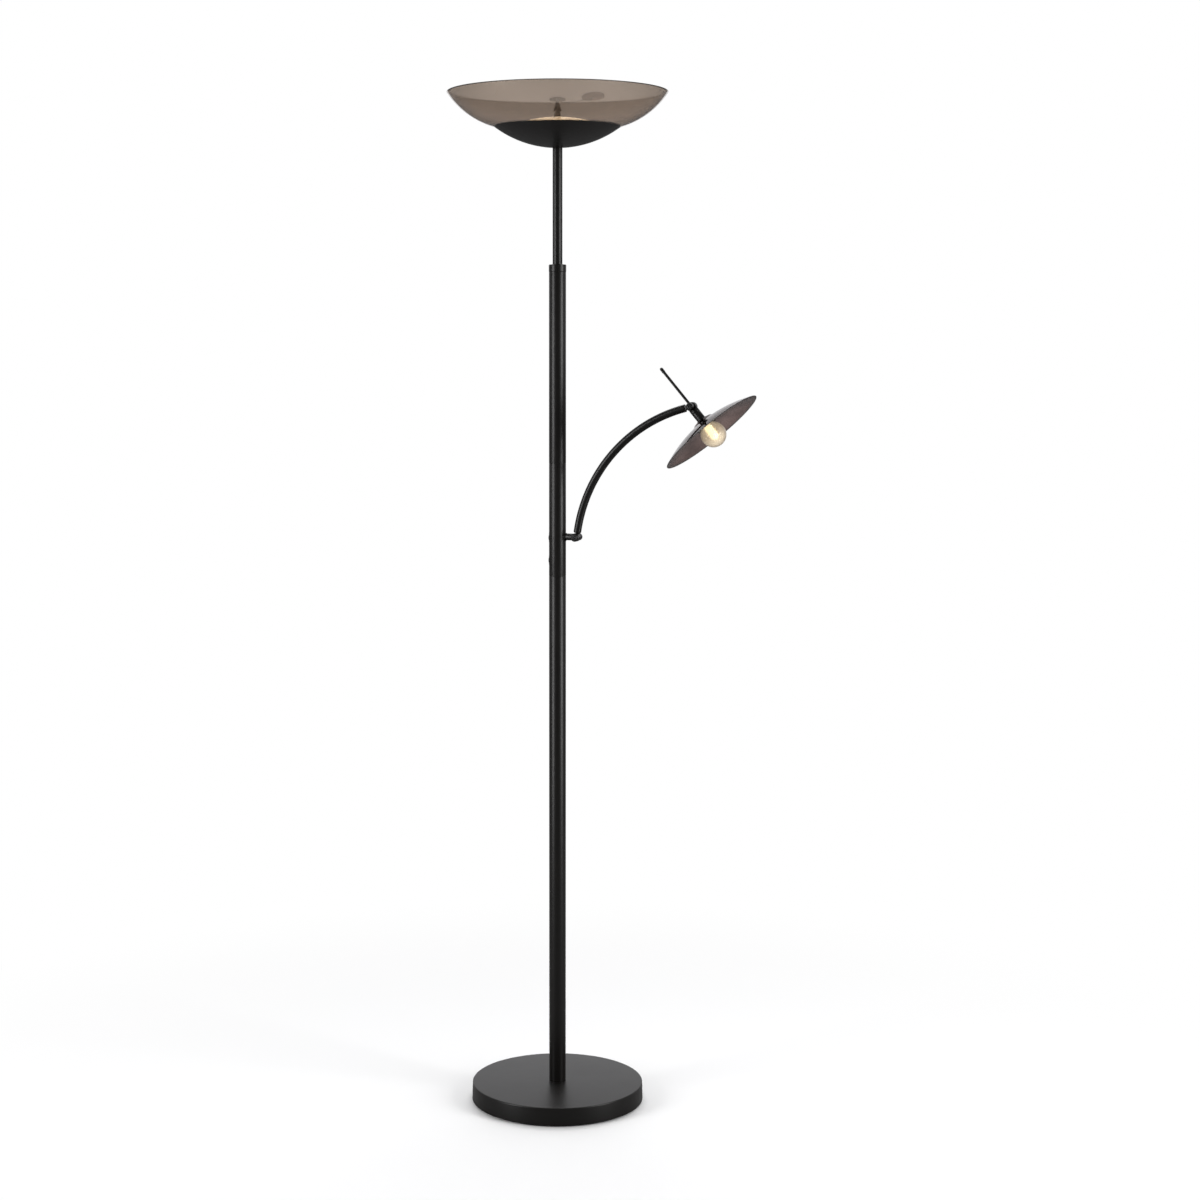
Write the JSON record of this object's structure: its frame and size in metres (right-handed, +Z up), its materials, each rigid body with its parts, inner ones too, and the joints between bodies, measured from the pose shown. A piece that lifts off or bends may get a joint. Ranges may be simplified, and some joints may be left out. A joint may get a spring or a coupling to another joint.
{
  "type": "torchiere floor lamp",
  "caption": "Floor lamp with a smoked glass uplight bowl on a slim pole and a reading light on a curved, tilting side arm.",
  "frame": {"origin": "centre of the foot's underside, on the floor and on the pole's axis", "axes": "+Z up along the pole; the reading arm reaches out along +X; +Y is to the left of the arm, and the cord inlet faces +Y"},
  "size_m": [0.5499, 0.3856, 1.8],
  "materials": {
    "satin_black": "satin powder coat",
    "dark_steel": "satin",
    "zinc": "zinc plated",
    "iron": "rough casting",
    "foam": "matt",
    "smoke_glass": "polished, half-mirrored smoke",
    "clear_glass": "lightly frosted",
    "opal": "opal",
    "warm_light": "glowing",
    "white_board": "matt",
    "bare_aluminium": "machined",
    "white_case": "fine texture",
    "ceramic": "glazed",
    "nickel": "plain",
    "lead_sheath": "matt"
  },
  "bodies": {
    "stand": {"base_pad": "foam", "base_plate": "dark_steel", "base_cover": "satin_black", "base_weight": "iron", "base_nipple": "zinc", "base_washer": "zinc", "base_nut": "zinc", "cord_grommet": "foam", "mains_lead": "lead_sheath", "foot_plug": "zinc", "lower_pole": "satin_black", "lower_coupler": "satin_black", "middle_pole": "satin_black", "upper_coupler": "satin_black", "upper_pole": "satin_black", "reducer": "satin_black", "top_tube": "satin_black", "top_plug": "zinc", "head_nipple": "zinc", "uplight_cup": "satin_black", "cup_washer": "zinc", "cup_nut": "zinc", "uplight_lead": "lead_sheath", "heat_sink": "bare_aluminium", "led_driver": "white_case", "led_board": "white_board", "uplight_leds": "warm_light", "bowl_pad": "foam", "bowl_gasket": "foam", "glass_bowl": "smoke_glass", "bowl_ring": "bare_aluminium", "ring_screws": "zinc", "diffuser": "opal", "dimmer_bezel_upper": "satin_black", "dimmer_bezel_lower": "satin_black", "dimmer_module_upper": "white_case", "dimmer_module_lower": "white_case", "arm_saddle": "satin_black", "arm_stub": "satin_black", "stub_nut": "zinc", "arm_friction_disc": "nickel", "arm_pivot_screw": "dark_steel"},
    "arm": {"arm_knuckle": "satin_black", "arm_tube": "satin_black", "arm_lead": "lead_sheath", "head_bracket": "satin_black", "head_friction_disc": "nickel", "head_pivot_screw": "dark_steel"},
    "reading_head": {"head_knuckle": "satin_black", "neck_tube": "satin_black", "aiming_rod": "satin_black", "shade_washer": "foam", "reading_shade": "smoke_glass", "lamp_holder": "satin_black", "bulb_socket": "ceramic", "bulb_cap": "ceramic", "bulb_core": "warm_light", "bulb_globe": "clear_glass"},
    "upper_button": {"dimmer_button_upper": "dark_steel"},
    "lower_button": {"dimmer_button_lower": "dark_steel"}
  },
  "joints": [
    {"name": "arm_tilt", "type": "hinge", "parent": "stand", "child": "arm", "pos_m": [0.0362, 0, 1.027], "axis": [0, 1, 0], "range_deg": [-20, 60]},
    {"name": "head_tilt", "type": "hinge", "parent": "arm", "child": "reading_head", "pos_m": [0.24511, 0, 1.25821], "axis": [0, 1, 0], "range_deg": [-14, 30]},
    {"name": "upper_button_press", "type": "slide", "parent": "stand", "child": "upper_button", "axis": [1, 0, 0], "range_m": [0, 0.0008], "stiffness_N_per_m": 2500, "springref_m": -0.0004},
    {"name": "lower_button_press", "type": "slide", "parent": "stand", "child": "lower_button", "axis": [1, 0, 0], "range_m": [0, 0.0008], "stiffness_N_per_m": 2500, "springref_m": -0.0004}
  ]
}
